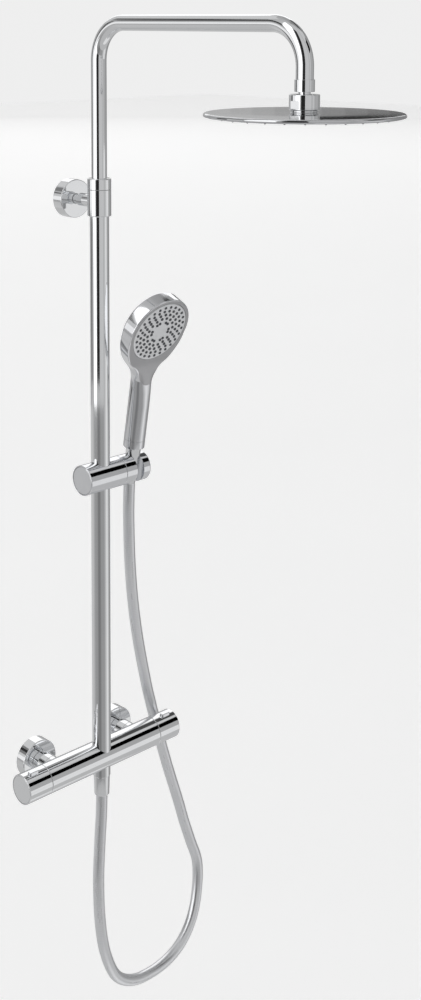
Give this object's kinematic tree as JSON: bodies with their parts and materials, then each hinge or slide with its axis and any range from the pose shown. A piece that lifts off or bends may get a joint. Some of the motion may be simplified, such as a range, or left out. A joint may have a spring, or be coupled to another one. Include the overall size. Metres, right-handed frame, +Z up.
{
  "type": "rainfall shower column",
  "caption": "Exposed thermostatic shower column with bar mixer, telescopic riser, swivel arm, round overhead shower, sliding handset holder, handset and hose.",
  "frame": {"origin": "centre of the wall bracket's base plate, on the wall", "axes": "+Z up along the riser, +Y into the wall, +X along the mixer to the flow handle"},
  "size_m": [0.3861, 0.5975, 1.5099],
  "materials": {
    "chrome": "polished chrome plate on brass",
    "chromed_abs": "polished chrome plate on ABS",
    "brass": "machined",
    "steel": "plain",
    "white_plastic": "moulded",
    "dark_plastic": "moulded",
    "rubber": "moulded",
    "grey_face": "satin moulded",
    "light_disc": "satin moulded",
    "silver_hose": "smooth silver"
  },
  "bodies": {
    "fixed_column": {"mixer_body": "chrome", "riser_tube": "chrome", "bracket_arm": "chrome", "bracket_rosette": "chrome", "inlet_rosette_left": "chrome", "inlet_rosette_right": "chrome", "union_nut_left": "chrome", "union_nut_right": "chrome", "hose_nut": "chrome", "eccentric_union_left": "brass", "eccentric_union_right": "brass", "riser_nipple": "brass", "hose_outlet_nipple": "brass", "temperature_cartridge_nut": "brass", "flow_cartridge_nut": "brass", "bracket_base": "steel", "wall_screw_upper": "steel", "wall_screw_lower": "steel", "bracket_grub_screw": "steel", "check_valve_left": "white_plastic", "check_valve_right": "white_plastic", "clamp_collet": "white_plastic", "temperature_cartridge": "dark_plastic", "flow_cartridge": "dark_plastic", "filter_washer_left": "rubber", "filter_washer_right": "rubber", "hose_washer": "rubber", "shower_hose": "silver_hose"},
    "temperature_handle": {"temperature_handle": "chromed_abs", "temperature_handle_cap": "chromed_abs", "temperature_stem": "brass", "temperature_button_spring": "steel"},
    "temperature_button": {"temperature_stop_button": "chromed_abs"},
    "flow_handle": {"flow_handle": "chromed_abs", "flow_handle_cap": "chromed_abs", "flow_stem": "brass", "flow_button_spring": "steel"},
    "flow_button": {"flow_stop_button": "chromed_abs"},
    "locking_ring": {"locking_ring": "chrome"},
    "telescope": {"guide_bush": "white_plastic"},
    "shower_arm": {"arm_tube": "chrome", "arm_collar": "chrome", "ball_stem": "chrome"},
    "ball_seat": {"ball_seat": "dark_plastic"},
    "overhead_shower": {"ball_nut": "chrome", "head_top_shell": "chrome", "head_spray_plate": "chrome", "head_nozzle_mat": "white_plastic"},
    "slider": {"slider_body": "chromed_abs", "slider_spring": "steel", "holder_axle": "steel"},
    "release_button": {"release_button": "chromed_abs", "brake_yoke": "dark_plastic"},
    "handset_holder": {"handset_holder": "chromed_abs"},
    "hose_cone": {"hose_cone_nut": "chrome"},
    "handset": {"handset_shell": "chromed_abs", "handset_end_sleeve": "chromed_abs", "handset_face": "grey_face", "spray_distributor": "white_plastic"},
    "spray_disc": {"spray_disc": "light_disc"}
  },
  "joints": [
    {"name": "temperature_turn", "type": "hinge", "parent": "fixed_column", "child": "temperature_handle", "pos_m": [-0.125, -0.07, -0.83], "axis": [1, 0, 0], "range_deg": [-150, 60]},
    {"name": "temperature_button_press", "type": "slide", "parent": "temperature_handle", "child": "temperature_button", "axis": [0, 0, -1], "range_m": [0, 0.002], "stiffness_N_per_m": 300, "springref_m": -0.002, "deforming": ["temperature_button_spring"]},
    {"name": "flow_turn", "type": "hinge", "parent": "fixed_column", "child": "flow_handle", "pos_m": [0.125, -0.07, -0.83], "axis": [1, 0, 0], "range_deg": [-60, 60]},
    {"name": "flow_button_press", "type": "slide", "parent": "flow_handle", "child": "flow_button", "axis": [0, 0, -1], "range_m": [0, 0.002], "stiffness_N_per_m": 300, "springref_m": -0.002, "deforming": ["flow_button_spring"]},
    {"name": "locking_ring_turn", "type": "hinge", "parent": "fixed_column", "child": "locking_ring", "pos_m": [0, -0.07, 0.026], "axis": [0, 0, 1], "range_deg": [0, 90]},
    {"name": "riser_height", "type": "slide", "parent": "fixed_column", "child": "telescope", "axis": [0, 0, 1], "range_m": [-0.12, 0.08]},
    {"name": "arm_swivel", "type": "hinge", "parent": "telescope", "child": "shower_arm", "pos_m": [0, -0.07, 0.1], "axis": [0, 0, 1], "range_deg": [-60, 60]},
    {"name": "head_tilt_forward", "type": "hinge", "parent": "shower_arm", "child": "ball_seat", "pos_m": [0, -0.452, 0.157], "axis": [1, 0, 0], "range_deg": [-7, 7]},
    {"name": "head_tilt_sideways", "type": "hinge", "parent": "ball_seat", "child": "overhead_shower", "pos_m": [0, -0.452, 0.157], "axis": [0, 1, 0], "range_deg": [-7, 7]},
    {"name": "slider_height", "type": "slide", "parent": "fixed_column", "child": "slider", "axis": [0, 0, 1], "range_m": [-0.3, 0.32], "deforming": ["shower_hose"]},
    {"name": "release_press", "type": "slide", "parent": "slider", "child": "release_button", "axis": [1, 0, 0], "range_m": [0, 0.003], "stiffness_N_per_m": 800, "springref_m": -0.002, "deforming": ["slider_spring"]},
    {"name": "holder_tilt", "type": "hinge", "parent": "slider", "child": "handset_holder", "pos_m": [0.033, -0.07, -0.4], "axis": [1, 0, 0], "range_deg": [-4, 35], "deforming": ["shower_hose"]},
    {"name": "handset_lift", "type": "slide", "parent": "handset_holder", "child": "hose_cone", "axis": [0, -0.165, 0.9863], "range_m": [0, 0.06], "deforming": ["shower_hose"]},
    {"name": "handset_turn", "type": "hinge", "parent": "hose_cone", "child": "handset", "pos_m": [0.0595, -0.07495, -0.37041], "axis": [0, -0.165, 0.9863], "range_deg": [-15, 60]},
    {"name": "spray_disc_turn", "type": "hinge", "parent": "handset", "child": "spray_disc", "pos_m": [0.0595, -0.13156, -0.18603], "axis": [0, -0.9063, -0.4226], "range_deg": [0, 90]}
  ]
}
